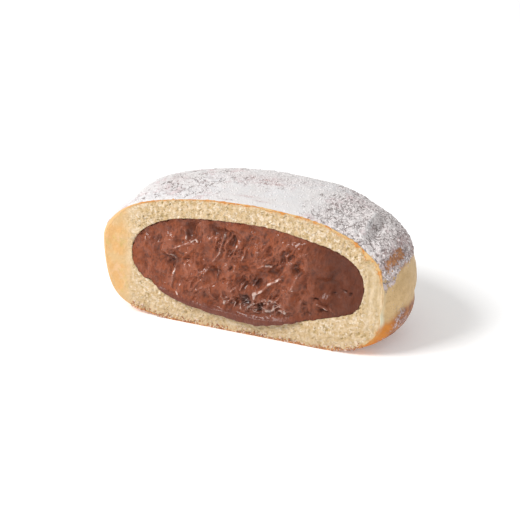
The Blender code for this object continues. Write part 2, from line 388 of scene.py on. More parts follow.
# sugar at a point of the skin: how much it covers, how thick it lies in millimetres,
# the bare rust patch, how grainy it is and how pink the skin shows through
def sugarAt(point):
    x, y, z = point * 1000
    behindCut = y - cutY * 1000
    edge = blend(ease(x, 10, 34), skin["sugarLevel"], skin["rightLevel"])
    tongue = skin["tongue"] * bump(y, -20.1, 4.4) * ease(x, 20, 35)
    edge += 4.5 * ease(-x, 34, 40) * bump(y, -20.3, 5) - tongue
    ragged = 0.9 * lumps(point, 0.0055, (4, 2, 8)) + 0.9 * lumps(point, 0.0022, (6, 6, 1))
    ragged += 0.5 * lumps(point, 0.0009, (1, 6, 6))
    cover = ease(z - edge + ragged, -1.1, 1.5)
    thin, pink = 0, 0
    for patch in skin["thinPatches"]:
        share = patch[4] * spot(x, y, patch) * ease(z, 29, 33)
        thin += share
        pink += share * patch[5]
    farSide = ease(y, -8, 2)
    bare = 0.60 * farSide * ease(lumps(point, 0.011, (2, 9, 3)), -0.05, 0.45)
    rightEnd = ease(x, 36, 41) * (1 - ease(z, 29, 33.5))
    thin = min(thin + bare + 0.62 * rightEnd, 0.85)
    pink = min(pink + 0.5 * bare + 0.8 * rightEnd, 1)
    drawn = Vector((point.x * 0.5, point.y, point.z))
    streaks = lumps(drawn, 0.0014, (3, 3, 5)) + 0.6 * lumps(drawn, 0.0008, (8, 1, 2))
    cover *= 1 - 0.66 * thin * ease(streaks, -0.6, 0.5)
    cover *= ease(behindCut + 0.55 * lumps(point, 0.0012, (1, 2, 3)), -0.20, 0.32)
    rust = spot(x, z, skin["rustPatch"]) * ease(-y, 8, 11)
    rust += 0.20 * lumps(point, 0.0016, (7, 7, 2))
    rust = ease(rust + 0.14 * lumps(point, 0.0008, (7, 2, 2)), 0.10, 1.0)
    cover *= 1 - 0.62 * rust
    # dust that fell on the brown below the belt
    low = bump(z, 6.5, 4.6) * ease(z, 0.6, 2.6) * ease(behindCut, 1.6, 4.0)
    low *= 0.36 + 0.42 * lumps(point, 0.0024, (5, 8, 8)) + 0.12 * lumps(point, 0.0009, (2, 8, 1))
    patches = sum(patch[4] * spot(y, z, patch) for patch in skin["lowDust"]) * ease(x, 34, 38)
    low = max(low, patches * (1 + 0.3 * lumps(point, 0.0011, (2, 8, 5))) * ease(behindCut, 0.9, 3.2))
    cover = max(cover, low)
    pink = max(pink, 1 - ease(z, 12, 16))
    # lumps and crevices, drawn out on the left
    drift = 4.5 * lumps(point, 0.012, (3, 9, 4)) + 2.2 * lumps(point, 0.0045, (9, 3, 4))
    left = 0.85 * ease(drift - x, 1, 13) * (1 - ease(drift - x, 29, 38)) + 0.9 * spot(x, y, (1, -4, 10, 5))
    right = ease(x + drift, 13, 27)
    rugged = min(max(left, right, farSide * ease(lumps(point, 0.015, (1, 5, 9)), -0.3, 0.2)), 1)
    bent = point + Vector((lumps(point, 0.002, (1, 1, 7)), lumps(point, 0.002, (1, 7, 1)), 0)) * 0.0006
    bent.x *= blend(right, 0.62, 0.9)
    coarse, medium = clumps(bent, 0.0020, (1, 4, 4)), clumps(bent, 0.0011, (3, 2, 6))
    small = clumps(bent, 0.0006, (5, 2, 2))
    relief = 0.30 * coarse + 0.26 * medium + 0.20 * small - 0.40
    valley = 1 - ease(0.55 * medium + 0.45 * small, 0.22, 0.62)
    cover *= 1 - 0.30 * rugged * valley * ease(z, 20, 24) * blend(right, 1, 0.55)
    thick = (0.08 + rugged * relief * blend(right, 0.9, 1)) * ease(z, 14, 20)
    thick += (1 - rugged) * (0.07 * lumps(point, 0.004, (4, 4, 4)) + 0.05 * lumps(drawn, 0.0013, (2, 7, 4)))
    thick -= 0.14 * thin * ease(streaks, -0.1, 0.5)
    raised = sum(mound[4] * spot(x, y, mound) for mound in skin["mounds"]) * ease(z, 28, 31)
    thick += raised
    grain = min(max(0.35 * left, right, 0.8 * rightEnd), 1) * (0.75 + 0.25 * ease(streaks, -0.5, 0.5))
    # painted light: raised sugar gets fewer dark specks, so the lit ridges look whiter
    grain *= 1 - 0.5 * ease(raised, 0.15, 0.55)
    return cover, thick * ease(cover, 0.05, 0.6), rust, grain, pink


# how much a point lies on the pale belt
def beltAt(point):
    x, y, z = point * 1000
    wave = 1.1 * lumps(point, 0.009, (6, 3, 9)) + 0.6 * lumps(point, 0.003, (1, 3, 3))
    wave += 0.3 * lumps(point, 0.001, (1, 3, 8))
    lower = 12.6 - 1.6 * bump(y, -20.3, 4) * ease(x, 20, 35)
    return ease(z + wave, lower - 1.3, lower + 1.1) * (1 - ease(z + wave, 23.5, 26.0))


skinAngles = evenAngles(
    lambda angle: skinPoint(slant(angle, tiltAt(angle, cutY - middle.y)))[0],
    skin["columns"], skin["crownFiner"])
rimRadii, rimTilts, rimRing = [], [], []
for angle in skinAngles:
    sideways = math.cos(angle)
    soft = ease(-sideways, 0.86, 0.985) * (1 - 0.75 * ease(math.sin(angle), 0.12, 0.35))
    radius = 0.001 * blend(soft, skin["rimRadius"], skin["leftRimRadius"])
    tilt = tiltAt(angle, cutY - middle.y + radius)
    rimRadii.append(radius)
    rimTilts.append(tilt)
    rimRing.append(skinPoint(slant(angle, tilt))[0] + middle)
rimWays = outwardWays(rimRing)
print("outline of the cut found")


# how wide the crust shows at the cut, in metres
def crustWidth(point):
    x, y, z = point * 1000
    top = ease(z, 24, 30)
    right = bump(z, 28, 3.5) * ease(x, 33, 37)
    width = 0.05 + 0.02 * top + 0.26 * top * ease(x, -14, 10) + 0.80 * right
    width *= 1 + 1.5 * lumps(point, 0.0009, (4, 4, 1)) + 1.3 * lumps(point, 0.0026, (9, 2, 2))
    return 0.001 * max(width, 0.015)


def crustInner(column):
    point = rimRing[column] - rimWays[column] * (rimRadii[column] + crustWidth(rimRing[column]))
    return Vector((point.x, cutY, point.z))


hollowAngles = evenAngles(
    lambda angle: creamPoint(slant(angle, math.pi / 2), cream["gap"]), skin["columns"], skin["crownFiner"])


def placeDough(column, row):
    angle = skinAngles[column]
    rim = rimRadii[column]
    if row <= skin["skinRows"]:
        share = row / skin["skinRows"]
        tilt = rimTilts[column] * (share + skin["rowLean"] * share * (1 - share))
        point, facing = skinPoint(slant(angle, tilt))
        point = point + middle
        cover, thick, rust, grain, pink = sugarAt(point)
        belt = beltAt(point)
        calm = ease(point.y - cutY, rim + 0.0001, rim + 0.0006) * ease(point.z, 0.0003, 0.0012)
        skinGrain = 0.05 * lumps(point, 0.0022, (2, 2, 9)) + 0.03 * lumps(point, 0.0009, (5, 1, 1))
        behindCut = point.y - cutY
        point = point + facing * (calm * 0.001 * (thick + skinGrain))
        edge = 1 - ease(behindCut + 0.0004 * lumps(point, 0.0012, (8, 1, 1)), 0.0002, 0.0011)
        # painted highlight: a pale strip on the crust at the right end of the cut, low down
        paleBeltAndHighlight = bump(point.z, 0.0118, 0.0024) * ease(point.x, 0.037, 0.039)
        paleBeltAndHighlight *= 1 - ease(behindCut, 0.0004, 0.0012)
        warm = edge * ease(-point.x, 0.028, 0.036)
        crown = ease(point.z, 0.0235, 0.0275)
        toasted = ease(behindCut + 0.001 * lumps(point, 0.0025, (3, 8, 1)), 0.0032, 0.0056)
        toasted = max(toasted, 1 - ease(point.z, 0.0002, 0.0016))       # the base is brown all over
        return point, (cover, belt, rust, edge, warm, crown, 0, grain, pink, paleBeltAndHighlight, toasted)
    row -= skin["skinRows"]
    outer, way = rimRing[column], rimWays[column]
    belt = beltAt(outer) * (1 - 0.9 * ease(outer.z, 0.0210, 0.0235))
    warm = ease(-outer.x, 0.028, 0.036)
    crown = ease(outer.z, 0.0210, 0.0240)
    # painted highlight: the same pale strip on the rim at the right end of the cut
    paleBeltAndHighlight = bump(outer.z, 0.0118, 0.0024) * ease(outer.x, 0.037, 0.039)
    if row <= skin["rimRows"]:
        turn = row / skin["rimRows"] * math.pi / 2
        point = outer - way * (rim * (1 - math.cos(turn)))
        point.y = cutY + rim * (1 - math.sin(turn))
        return point, (0, belt, 0, 1, warm, crown, 0, 0, 0, paleBeltAndHighlight, 0)
    row -= skin["rimRows"]
    inner = crustInner(column)
    if row <= 2:
        start = outer - way * rim
        point = start.lerp(inner, row / 2)
        point.y = cutY - 0.00010 * lumps(point, 0.0008, (3, 3, 8)) + 0.00004 * (row / 2)
        return point, (0, belt, 0, 1, warm, crown, 0, 0, 0, paleBeltAndHighlight, 0)
    row -= 2
    if row == 1:
        return inner + Vector((0, 0.001 * skin["recess"], 0)), (0, belt, 0, 1, warm, 0, 1, 0, 0, 0, 0)
    row -= 1
    lean = math.pi / 2 * (1 - (row - 1) / (skin["hollowRows"] - 1))
    direction = slant(hollowAngles[column], lean)
    point = creamPoint(direction, cream["gap"]) + creamMiddle
    if row == 1:
        point.y += 0.001 * skin["recess"]
    return point, (0, 0, 0, 0, 0, 0, 1, 0, 0, 0, 0)


doughRows = skin["skinRows"] + skin["rimRows"] + 2 + 1 + skin["hollowRows"]
doughMarks = ["sugar", "belt", "rust", "edge", "warm", "crown", "inside", "grain", "pink", "paleBeltAndHighlight", "toasted"]
doughForm = rollGrid(skin["columns"], doughRows, doughMarks, placeDough)

skinMaterial, tree, shader = newMaterial("sugaredCrust")
coords = objectCoords(tree)
sugar, belt, rust, edge, warm, crown, inside, grain, pink, paintedHighlight, toasted = [
    markOut(tree, name) for name in doughMarks]
orange = mottle(tree, (0.65, 0.235, 0.032), (0.54, 0.175, 0.026), 260.0, 0.40, 0.70)
brown = mottle(tree, (0.47, 0.185, 0.068), (0.26, 0.092, 0.048), 620.0, 0.40, 0.62)
paleBeltAndHighlight = mottle(tree, (0.70, 0.485, 0.245), (0.59, 0.39, 0.18), 420.0, 0.35, 0.75)
crust = mixOut(tree, belt, mixOut(tree, toasted, orange, brown), paleBeltAndHighlight)
under = mottle(tree, (0.46, 0.37, 0.36), (0.36, 0.31, 0.32), 900.0)
rosy = mottle(tree, (0.56, 0.36, 0.33), (0.42, 0.26, 0.25), 900.0)
crust = mixOut(tree, crown, crust, mixOut(tree, pink, under, rosy))
rustColour = mottle(tree, (0.56, 0.26, 0.11), (0.38, 0.17, 0.09), 1100.0, 0.4, 0.6)
crust = mixOut(tree, rangeOut(tree, rust, 0.0, 0.5), crust, rustColour)
# the crust where the knife went through it, brown above and pale along the belt
cutBrown = mottle(tree, (0.61, 0.25, 0.06), (0.67, 0.43, 0.19), 430.0, 0.46, 0.56)
lowBrown = mixOut(tree, cutBrown.node.outputs["Mask"], (0.61, 0.22, 0.035, 1), (0.62, 0.29, 0.07, 1))
golden = mixOut(tree, belt, mixOut(tree, crown, lowBrown, cutBrown), (0.72, 0.54, 0.31, 1))
golden = mixOut(tree, warm, golden, (0.70, 0.435, 0.20, 1))
crust = mixOut(tree, edge, crust, golden)
# painted highlight: the pale strip at the right end of the cut
crust = mixOut(tree, paintedHighlight, crust, (0.80, 0.74, 0.54, 1))
crust = mixOut(tree, inside, crust, (0.64, 0.48, 0.28, 1))
# the sugar, whiter where it lies thick, and pink where the skin shows through
dust = useGroup(tree, dustGroup, {"Cover": sugar, "Scale": 1300.0, "Break": 2.2, "Sharpness": 0.20})
white = mottle(tree, (0.76, 0.731, 0.718), (0.742, 0.729, 0.735), 140.0, 0.4, 0.7)
grainyWhite = mottle(tree, (0.92, 0.865, 0.85), (0.78, 0.715, 0.70), 420.0, 0.36, 0.64)
thickWhite = mixOut(tree, rangeOut(tree, grain, 0.4, 1.0), white, grainyWhite)
thinWhite = mottle(tree, (0.66, 0.61, 0.60), (0.58, 0.53, 0.53), 700.0)
thinPink = mottle(tree, (0.66, 0.51, 0.49), (0.54, 0.43, 0.43), 700.0)
thinColour = mixOut(tree, pink, thinWhite, thinPink)
sugarColour = mixOut(tree, rangeOut(tree, sugar, 0.45, 0.95), thinColour, thickWhite)
sugarColour = mixOut(tree, timesOut(tree, pink, 0.6), sugarColour, thinPink)
blush = timesOut(tree, rangeOut(tree, noiseOut(tree, coords, 230.0, 4.0, 0.65), 0.53, 0.64), 0.75)
blush = timesOut(tree, blush, rangeOut(tree, grain, 0.02, 0.2))
sugarColour = mixOut(tree, blush, sugarColour, (0.68, 0.56, 0.56, 1))
# dark specks between the grains: painted shade in the gaps, with the skin showing through
warp = addNode(tree, "ShaderNodeTexNoise", {"Vector": coords, "Scale": 700.0, "Detail": 1.0}).outputs["Color"]
bend = addNode(tree, "ShaderNodeVectorMath", {0: warp, 1: (0.0008, 0.0008, 0.0008)}, operation="MULTIPLY")
bent = addNode(tree, "ShaderNodeVectorMath", {0: coords, 1: bend.outputs[0]}, operation="ADD").outputs[0]
specks = noiseOut(tree, bent, 1250.0, 2.5, 0.6)
specks = timesOut(tree, rangeOut(tree, specks, 0.545, 0.605), rangeOut(tree, grain, 0.3, 1.0, 0.0, 0.85))
# and short crooked crevices in drifts, darkened with painted shade
squiggle = mathOut(tree, "SUBTRACT", noiseOut(tree, bent, 640.0, 2.0, 0.5), 0.5)
squiggle = mathOut(tree, "ABSOLUTE", squiggle)
drift = mathOut(tree, "ADD", noiseOut(tree, coords, 330.0, 2.0, 0.55), timesOut(tree, grain, 0.05))
creviceShade = timesOut(tree, rangeOut(tree, squiggle, 0.014, 0.048, 1.0, 0.0), rangeOut(tree, drift, 0.53, 0.58))
creviceShade = timesOut(tree, creviceShade, rangeOut(tree, grain, 0.03, 0.24, 0.0, 0.9))
darkSpecks = mathOut(tree, "MAXIMUM", specks, creviceShade)
# painted shade: the specks and crevices darken the sugar
sugarColour = mixOut(tree, darkSpecks, sugarColour, (0.27, 0.215, 0.205, 1))
tiny = noiseOut(tree, coords, 2600.0, 2.0, 0.6)
height = mathOut(tree, "ADD", timesOut(tree, tiny, 0.7), timesOut(tree, dust["Height"], 0.8))
height = mathOut(tree, "SUBTRACT", height, timesOut(tree, darkSpecks, 0.9))
height = timesOut(tree, height, rangeOut(tree, sugar, 0.1, 0.7, 0.25, 1.0))
height = timesOut(tree, height, rangeOut(tree, grain, 0.0, 1.0, 0.6, 1.2))
fillInputs(tree, shader, {
    "Base Color": mixOut(tree, dust["Mask"], crust, sugarColour),
    "Roughness": rangeOut(tree, dust["Mask"], 0.0, 1.0, 0.48, 0.95),
    "Specular IOR Level": 0.18,
    "Normal": bumpOut(tree, height, 0.7, 0.0004),
})
finishPiece("doughSkin", doughForm, skinMaterial, "dough")


# the open crumb, which fills the recess in the cut
crumb = {
    "columns": 1240,
    "faceRows": 54,
    "lipRows": 3,
    "lipRadius": 0.35,
    "depth": 1.15,              # how far the slab goes back
    "overlap": 0.10,            # its edge hides under the crust
    "knob": (-32.6, 23.4, 0.8, 0.7, 0.7),
    # where the opening bends out or in: degrees on its oval, spread, millimetres
    "openingBends": [(-27, 13, 0.65), (30, 12, 0.35), (118, 24, -0.30), (-152, 12, 0.35),
                     (-120, 13, -0.60), (-78, 10, 0.40), (-48, 9, -0.45)],
}


# relief of the crumb in millimetres, how deep the pore is, and how dense the dough
def crumbAt(x, z):
    place = Vector((x, 0, z)) * 0.001
    soft = 0.30 * lumps(place, 0.0055, (1, 1, 4))
    leftWards = -x + 1.6 * lumps(place, 0.006, (2, 6, 3)) + 1.2 * lumps(place, 0.0022, (6, 2, 3))
    leftWall = ease(leftWards, 30.2, 36.2)
    rightWall = ease(x, 34.6, 36.6) * bump(z, 19, 8.5)
    dense = min(max(leftWall, 0.75 * rightWall), 1)
    airy = 1 - 0.86 * dense
    bent = place + Vector((lumps(place, 0.0009, (3, 1, 1)), 0, lumps(place, 0.0009, (1, 3, 1)))) * 0.0006
    wide = noise.voronoi(bent / 0.00125 + Vector((2, 5, 1)))[0][0]
    small = noise.voronoi(bent / 0.00066 + Vector((7, 3, 3)))[0][0]
    porous = ease(lumps(place, 0.003, (6, 1, 2)), -0.5, 0.35)
    pore = ease(0.50 - wide, 0.0, 0.34) * ease(lumps(place, 0.0019, (1, 9, 5)), 0.02, 0.42)
    pore = max(pore, 0.75 * ease(0.48 - small, 0.0, 0.34) * porous)
    strands = 0.6 * lumps(bent, 0.0013, (5, 5, 0)) + 0.6 * lumps(bent, 0.0007, (8, 2, 2))
    strands += 0.35 * lumps(bent, 0.0004, (1, 2, 8))
    layers = 0.9 * lumps(Vector((x / 0.7, 0, z / 7)), 1, (3, 0, 2)) * rightWall
    layers += 0.8 * lumps(Vector((x / 1.8, 0, z / 3.2)), 1, (3, 0, 2)) * leftWall
    height = soft - 0.30 * pore * airy + 0.32 * strands * airy + 0.16 * layers
    height += 0.09 * dense * lumps(bent, 0.0012, (2, 2, 2))
    return height, pore * airy, dense


# the direction of a place from the cream's middle, in degrees on its oval
def ovalAngle(x, z):
    across = (x - creamMiddle.x) / cream["halfWidth"]
    up = (z - creamMiddle.z) / cream["halfHeight"]
    return math.degrees(math.atan2(up, across))


# the opening is fuller or flatter than the plain form here and there
def openingShift(place):
    angle = ovalAngle(place.x, place.z)
    return 0.001 * sum(out * bump(angle, at, spread) for at, spread, out in crumb["openingBends"])


crustRing = evenRing([crustInner(column) for column in range(skin["columns"])], crumb["columns"])
hollowRing = [creamPoint(slant(angle, math.pi / 2), cream["gap"]) + creamMiddle for angle in hollowAngles]
hollowRing = evenRing(hollowRing, crumb["columns"])


def placeCrumb(column, row):
    outer, inner = crustRing[column], hollowRing[column]
    inward = (inner - outer).normalized()
    outer = outer - inward * (0.001 * crumb["overlap"])
    frayed = 0.20 * lumps(inner, 0.0016, (2, 4, 4)) + 0.16 * lumps(inner, 0.0007, (4, 2, 4))
    cover = 0.55 * ease(inner.z, 0.015, 0.026) * (1 - 0.5 * ease(inner.x, 0.018, 0.030))
    inner = inner + inward * (0.001 * (frayed - 0.10 + cover) - openingShift(inner))
    if row <= crumb["faceRows"]:
        along = row / crumb["faceRows"]
        point = outer.lerp(inner - inward * (0.001 * crumb["lipRadius"]), along)
        fromCrust = (point - outer).length * 1000
        height, pore, dense = crumbAt(point.x * 1000, point.z * 1000)
        knob = crumb["knob"]
        height += knob[4] * spot(point.x * 1000, point.z * 1000, knob)
        calm = ease(fromCrust, 0.05, 0.5)
        warm = ease(-point.x * 1000 + 1.2 * lumps(point, 0.005, (3, 6, 6)), 30, 37)
        height = blend(calm, -0.02, height) - blend(warm, 0.16, 0.04) * (1 - ease(fromCrust, 0.05, 0.25))
        point.y = cutY - 0.001 * height
        low = 1 - ease(point.z * 1000, 2.0, 7.0)
        nearCrust = 1 - ease(fromCrust + 0.5 * lumps(point, 0.0011, (9, 1, 1)), 0.0, 0.9)
        nearCrust *= 1 - 0.8 * ease(point.x, 0.034, 0.036) * bump(point.z, 0.016, 0.007)
        return point, (pore * calm, dense, warm, low, nearCrust * (1 - warm))
    row -= crumb["faceRows"]
    if row <= crumb["lipRows"]:
        turn = row / crumb["lipRows"] * math.pi / 2
        radius = 0.001 * crumb["lipRadius"]
        point = inner - inward * (radius * (1 - math.sin(turn)))
        height = crumbAt(point.x * 1000, point.z * 1000)[0]
        point.y = cutY - 0.001 * height * (1 - row / crumb["lipRows"]) + radius * (1 - math.cos(turn))
        return point, (0.2, 0, 0, 0, 0)
    row -= crumb["lipRows"]
    if row == 1:
        return inner + Vector((0, 0.001 * crumb["depth"], 0)), (0.5, 0, 0, 0, 0)
    if row == 2:
        return outer + Vector((0, 0.001 * crumb["depth"], 0)), (0.5, 0, 0, 0, 0)
    return outer + Vector((0, 0.00018, 0)), (0, 0, 0, 0, 1)


crumbMarks = ["pore", "dense", "warm", "low", "crust"]
crumbForm = rollGrid(
    crumb["columns"], crumb["faceRows"] + crumb["lipRows"] + 3, crumbMarks, placeCrumb)

crumbMaterial, tree, shader = newMaterial("openCrumb")
coords = objectCoords(tree)
bodyCoords = objectCoords(tree, (1.0, 1.0, 0.7))
pore, dense, warm, low, crustShare = [markOut(tree, name) for name in crumbMarks]
body = mottle(tree, (0.56, 0.395, 0.21), (0.69, 0.545, 0.375), 640.0, 0.38, 0.64)
fluff = noiseOut(tree, coords, 1100.0, 2.0, 0.5)
body = mixOut(tree, rangeOut(tree, fluff, 0.54, 0.66, 0.0, 0.75), body, (0.80, 0.69, 0.56, 1))
# painted shade: the pores, and the edge where it turns into the hollow, darkened towards olive; the fine
# noise adds olive flecks at random
oliveFleckAndShade = mottle(tree, (0.49, 0.355, 0.155), (0.37, 0.27, 0.125), 1200.0, 0.4, 0.65)
fine = noiseOut(tree, coords, 1500.0, 3.0, 0.6)
poreShadeAndFlecks = mathOut(tree, "ADD", pore, rangeOut(tree, fine, 0.54, 0.68, 0.0, 0.6), clamp=True)
colour = mixOut(tree, poreShadeAndFlecks, body, oliveFleckAndShade)
# the smooth walls of dough, warm on the left and layered on the right
leftTone = mottle(tree, (0.66, 0.385, 0.155), (0.64, 0.43, 0.21), 260.0, 0.38, 0.62)
rosy = rangeOut(tree, noiseOut(tree, bodyCoords, 380.0, 5.0, 0.7), 0.50, 0.64, 0.0, 0.5)
leftWall = mixOut(tree, rosy, leftTone, (0.75, 0.50, 0.31, 1))
grassy = rangeOut(tree, noiseOut(tree, bodyCoords, 300.0, 5.0, 0.7), 0.54, 0.66, 0.0, 0.7)
leftWall = mixOut(tree, grassy, leftWall, (0.56, 0.40, 0.14, 1))
upright = noiseOut(tree, objectCoords(tree, (1.0, 1.0, 0.16)), 900.0, 2.0, 0.5)
rightWall = mixOut(tree, rangeOut(tree, upright, 0.44, 0.60), (0.53, 0.395, 0.22, 1), (0.68, 0.53, 0.34, 1))
colour = mixOut(tree, dense, colour, mixOut(tree, warm, rightWall, leftWall))
colour = mixOut(tree, timesOut(tree, low, 0.45), colour, (0.52, 0.385, 0.225, 1))
rimTint = mottle(tree, (0.62, 0.31, 0.10), (0.64, 0.47, 0.25), 700.0, 0.44, 0.58)
colour = mixOut(tree, timesOut(tree, crustShare, 0.8), colour, rimTint)
fillInputs(tree, shader, {
    "Base Color": colour,
    "Roughness": 0.82,
    "Specular IOR Level": 0.25,
    "Normal": bumpOut(tree, fine, 0.6, 0.0003),
})
finishPiece("openCrumb", crumbForm, crumbMaterial, "dough")


# the cream, torn where it was cut, with a lip smeared down over the crumb
tear = {
    "columns": 640,
    "faceRows": 118,
    "lipRows": 12,
    "backRows": 12,
    "relief": 1.35,             # millimetres
    "sizes": ((0.0085, 1.0), (0.0042, 0.8), (0.0023, 0.5)),     # of its lumps in metres, and their shares
    "ridgeSlope": 64,           # degrees from level, the way the knife dragged it
    "rimStart": 0.75,
    "rimCalm": 0.7,
    "edgeRadius": 0.35,
    "lipStart": -134, "lipEnd": -67, "lipFade": 9,      # degrees on its oval
    "lipDrop": 0.3, "lipForward": 1.2, "lipOut": 1.85, "lipDepth": 0.60,
    "swell": 0.9,
    # thin torn crests: the line that each follows in x and z, its height and width
    "crests": [(((-21.5, 20.5), (-19.6, 19.9), (-18.9, 18.4), (-19.7, 14.7), (-20.4, 11.2)), 0.55, 0.34),
               (((-4.3, 28.5), (-4.8, 25.3), (-5.6, 23.2), (-7.2, 20.8)), 0.60, 0.34),
               (((4.6, 13.0), (7.4, 14.7), (8.9, 16.6), (10.9, 18.0), (12.6, 18.9)), 0.80, 0.36),
               (((5.8, 21.2), (7.8, 22.2), (9.4, 21.8)), 0.60, 0.32),
               (((2.0, 25.4), (1.8, 24.0), (1.0, 22.3)), 0.45, 0.30),
               (((-0.6, 26.0), (-3.0, 23.0)), 0.40, 0.32), (((-9.0, 18.2), (-10.1, 16.5)), 0.45, 0.30),
               (((-5.8, 19.4), (-6.5, 16.2)), 0.40, 0.30), (((-16.1, 27.8), (-15.8, 25.7)), 0.45, 0.30),
               (((-8.8, 12.8), (-8.1, 11.2), (-6.9, 9.6)), 0.55, 0.30),
               (((-4.8, 11.2), (-4.2, 8.7)), 0.60, 0.34), (((1.4, 15.2), (0.6, 13.5)), 0.45, 0.30),
               (((5.2, 13.0), (4.5, 10.9), (2.8, 8.7)), 0.60, 0.36),
               (((7.6, 11.8), (10.7, 11.8), (12.9, 10.6), (14.2, 8.4)), 0.50, 0.26),
               (((17.8, 21.4), (16.5, 19.1), (15.6, 16.1)), 0.40, 0.34),
               (((22.6, 12.6), (25.6, 11.9)), 0.50, 0.24), (((26.4, 12.7), (27.9, 11.2)), 0.45, 0.26),
               (((-18.9, 9.8), (-17.8, 7.8)), 0.50, 0.34), (((-28.4, 25.5), (-28.1, 23.4)), 0.35, 0.28),
               (((-22.4, 23.0), (-23.0, 21.2)), 0.35, 0.26), (((-19.2, 22.7), (-17.2, 23.7)), 0.50, 0.24),
               (((-14.4, 25.2), (-13.0, 26.1), (-12.2, 25.5)), 0.60, 0.26)],
    # pits: x, z, half sizes, depth
    "pits": [(-2.2, 18.9, 0.6, 0.5, -0.8), (5.2, 15.9, 1.3, 1.0, -0.9), (2.2, 11.1, 1.5, 1.3, -1.1),
             (6.8, 10.4, 0.8, 0.9, -1.1), (6.4, 8.7, 0.7, 0.6, -0.8), (22.4, 14.7, 1.1, 0.4, -0.8),
             (24.3, 11.3, 1.3, 0.35, -0.8), (8.6, 22.5, 0.4, 0.35, -0.7), (-17.1, 21.4, 0.35, 0.4, -0.6),
             (-21.8, 19.0, 0.6, 0.4, -0.35), (-19.9, 18.6, 0.5, 0.4, -0.35), (-21.2, 17.6, 0.5, 0.6, -0.25),
             (-18.3, 24.8, 1.1, 0.8, -0.45), (-24.4, 24.0, 1.3, 1.1, -0.35), (-14.9, 9.9, 1.3, 1.0, -0.45),
             (-9.8, 9.8, 1.2, 0.9, -0.5), (-6.4, 24.4, 0.8, 1.0, -0.5), (3.3, 29.0, 0.6, 0.9, -0.5),
             (0.4, 24.1, 0.8, 1.0, -0.5), (16.1, 21.9, 1.0, 1.2, -0.45), (20.6, 9.9, 0.9, 0.3, -0.5),
             (27.4, 17.2, 0.4, 0.3, -0.7), (30.1, 18.1, 0.8, 0.35, -0.7), (32.0, 17.7, 0.5, 0.4, -0.7)],
}


# how strongly a place lies on a narrow ridge that follows a line
def crest(x, z, line, width):
    nearest = 3 * width
    for (startX, startZ), (endX, endZ) in zip(line, line[1:]):
        if not min(startX, endX) - nearest < x < max(startX, endX) + nearest:
            continue
        alongX, alongZ = endX - startX, endZ - startZ
        share = ((x - startX) * alongX + (z - startZ) * alongZ) / (alongX ** 2 + alongZ ** 2)
        share = min(max(share, 0), 1)
        nearest = min(nearest, math.hypot(x - startX - share * alongX, z - startZ - share * alongZ))
    return bump(nearest, 0, width) - bump(3, 0, 1)


# how far the cream stands out of the cut in millimetres, how near its rim is, and the painted shade and light
# on it: darker in pits, valleys, under the upper rim and low down, lighter on the crests
def creamAt(x, z):
    place = Vector((x, 0, z)) * 0.001
    torn = 0
    for number, (size, share) in enumerate(tear["sizes"]):
        torn += share * lumps(place, size, (2 + 3 * number, 8, 5 - number))
    across = (x * 0.001 - creamMiddle.x) / cream["halfWidth"]
    up = (z * 0.001 - creamMiddle.z) / cream["halfHeight"]
    rim = ease(math.hypot(across, up), tear["rimStart"], 1.0)
    calmRight = 1 - 0.72 * ease(x, 17, 27)
    warp = Vector((lumps(place, 0.004, (4, 1, 1)), 0, lumps(place, 0.004, (1, 6, 1)))) * 0.0012
    turned = place + warp
    slope = math.radians(tear["ridgeSlope"])
    sideways = turned.x * math.sin(slope) - turned.z * math.cos(slope)
    lengthways = turned.x * math.cos(slope) + turned.z * math.sin(slope)
    drawn = Vector((sideways, 0, lengthways * 0.45))
    sharp = max(1 - 3.6 * abs(lumps(drawn, 0.0024, (3, 2, 2))), 0)
    keen = max(1 - 3.2 * abs(lumps(drawn, 0.0012, (6, 2, 4))), 0)
    rough = ease(lumps(place, 0.0055, (8, 3, 1)), -0.35, 0.30)      # smooth places lie between torn ones
    ridges = (0.50 * sharp + 0.30 * keen) * (0.35 + 0.65 * rough)
    fine = 0.5 * lumps(turned, 0.0009, (2, 2, 7)) + 0.28 * lumps(turned, 0.0005, (4, 8, 7))
    band = ease(bump(x, 6, 12) * bump(z, 9.8, 3.0), 0.25, 0.8)      # the wrinkled strings low down
    strings = max(1 - 3.4 * abs(lumps(Vector((turned.x * 0.9, 0, turned.z * 1.2)), 0.0015, (9, 1, 5))), 0)
    bentX, bentZ = x + 250 * warp.x, z + 250 * warp.z
    jaggedX = bentX + 0.7 * lumps(place, 0.0013, (3, 7, 1))
    jaggedZ = bentZ + 0.7 * lumps(place, 0.0013, (5, 5, 1))
    holes = sum(pit[4] * spot(jaggedX, jaggedZ, pit) for pit in tear["pits"])
    crests = sum(height * crest(bentX, bentZ, line, width) for line, height, width in tear["crests"])
    sink = 0.6 * rim * ease(up, -0.2, 0.5)
    quiet = calmRight * (1 - 0.6 * rim)
    height = tear["relief"] * torn * (1 - tear["rimCalm"] * rim) - 0.12
    height += (0.85 * ridges + 0.50 * fine * (0.4 + 0.6 * rough)) * quiet
    height += 0.65 * band * strings + holes + 1.2 * crests - sink
    # painted shade in pits, valleys and under the upper rim, and darker low down; painted light on the crests
    # and ridges
    valley = ease(-torn * 0.5 - fine * 0.8 - ridges, -0.25, 0.40) * quiet
    lowBand = bump(x, 5, 14) * bump(z, 9, 4)
    dark = min(max(-holes * 1.2, 0) + 0.78 * valley + 0.30 * rim * ease(up, 0.0, 0.6) + 0.40 * lowBand, 1)
    paintedLight = min(max(crests * 1.6, 0) + 0.7 * ridges * quiet + 0.8 * band * strings, 1)
    return height, rim, dark, paintedLight


